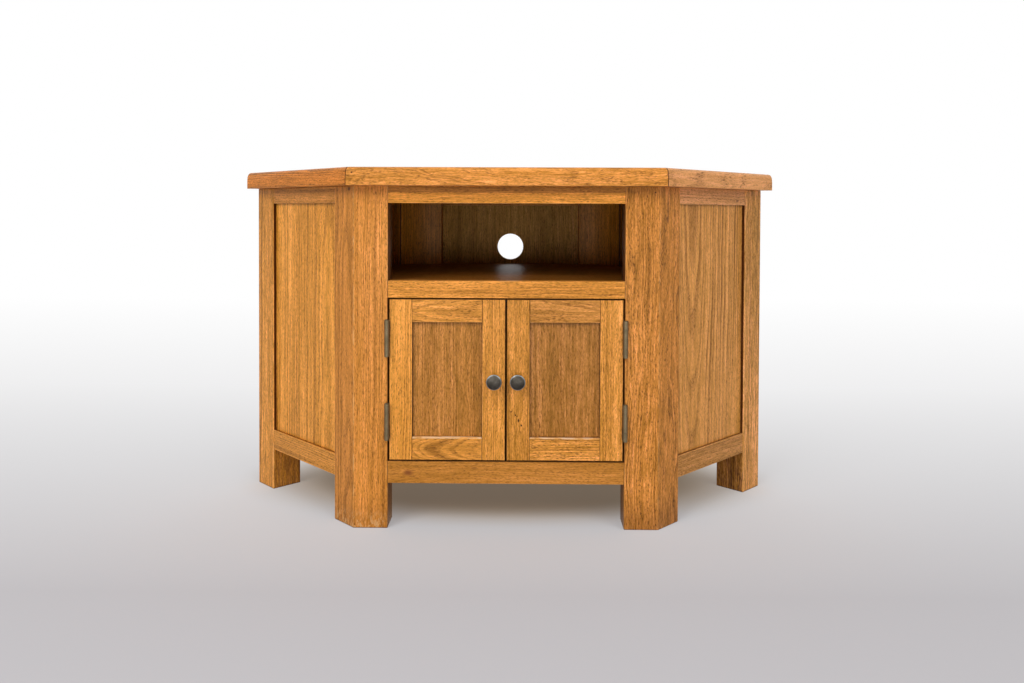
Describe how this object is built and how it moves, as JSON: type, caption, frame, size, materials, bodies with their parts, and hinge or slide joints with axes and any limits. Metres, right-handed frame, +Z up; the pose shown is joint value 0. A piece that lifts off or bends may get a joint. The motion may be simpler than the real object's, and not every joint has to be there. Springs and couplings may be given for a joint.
{
  "type": "corner tv cabinet",
  "caption": "Oak corner television cabinet with an open equipment bay above a pair of framed doors, side facets, square legs and a cable hole in the back.",
  "frame": {"origin": "on the floor, under the middle of the cabinet's bounding box", "axes": "+X to the right as seen from the front, +Y from the front towards the corner of the room, +Z up"},
  "size_m": [1.0528, 0.546, 0.63],
  "materials": {
    "oak_top": "satin lacquered oak",
    "oak_frame": "satin lacquered oak",
    "oak_door": "satin lacquered oak",
    "oak_panel": "satin lacquered oak, darker",
    "pewter": "dark pewter plated",
    "hinge_metal": "antique pewter plated",
    "steel": "zinc plated",
    "catch_plastic": "brown moulded"
  },
  "bodies": {
    "carcass": {"top_panel": "oak_top", "top_front_border": "oak_top", "top_left_border": "oak_top", "top_right_border": "oak_top", "front_left_post": "oak_frame", "front_right_post": "oak_frame", "left_corner_post": "oak_frame", "right_corner_post": "oak_frame", "back_left_post": "oak_frame", "back_right_post": "oak_frame", "front_top_rail": "oak_frame", "front_shelf_rail": "oak_frame", "front_bottom_rail": "oak_frame", "left_side_top_rail": "oak_frame", "left_side_bottom_rail": "oak_frame", "left_side_panel": "oak_panel", "right_side_top_rail": "oak_frame", "right_side_bottom_rail": "oak_frame", "right_side_panel": "oak_panel", "left_rear_top_rail": "oak_frame", "left_rear_bottom_rail": "oak_frame", "left_rear_panel": "oak_panel", "right_rear_top_rail": "oak_frame", "right_rear_bottom_rail": "oak_frame", "right_rear_panel": "oak_panel", "back_top_rail": "oak_frame", "back_bottom_rail": "oak_frame", "back_panel": "oak_panel", "shelf_board": "oak_panel", "floor_board": "oak_panel", "catch_block": "oak_frame", "magnetic_catch": "catch_plastic", "left_upper_hinge_frame_leaf": "hinge_metal", "left_lower_hinge_frame_leaf": "hinge_metal", "right_upper_hinge_frame_leaf": "hinge_metal", "right_lower_hinge_frame_leaf": "hinge_metal", "left_upper_hinge_pin": "hinge_metal", "left_lower_hinge_pin": "hinge_metal", "right_upper_hinge_pin": "hinge_metal", "right_lower_hinge_pin": "hinge_metal"},
    "left_door": {"left_door_hinge_stile": "oak_door", "left_door_meeting_stile": "oak_door", "left_door_top_rail": "oak_door", "left_door_bottom_rail": "oak_door", "left_door_panel": "oak_panel", "left_door_knob": "pewter", "left_knob_screw": "steel", "left_strike_plate": "steel", "left_upper_hinge_door_leaf": "hinge_metal", "left_lower_hinge_door_leaf": "hinge_metal"},
    "right_door": {"right_door_hinge_stile": "oak_door", "right_door_meeting_stile": "oak_door", "right_door_top_rail": "oak_door", "right_door_bottom_rail": "oak_door", "right_door_panel": "oak_panel", "right_door_knob": "pewter", "right_knob_screw": "steel", "right_strike_plate": "steel", "right_upper_hinge_door_leaf": "hinge_metal", "right_lower_hinge_door_leaf": "hinge_metal"}
  },
  "joints": [
    {"name": "left_door_hinge", "type": "hinge", "parent": "carcass", "child": "left_door", "pos_m": [-0.207, -0.2545, 0.26], "axis": [0, 0, -1], "range_deg": [0, 170]},
    {"name": "right_door_hinge", "type": "hinge", "parent": "carcass", "child": "right_door", "pos_m": [0.207, -0.2545, 0.26], "axis": [0, 0, 1], "range_deg": [0, 170]}
  ]
}
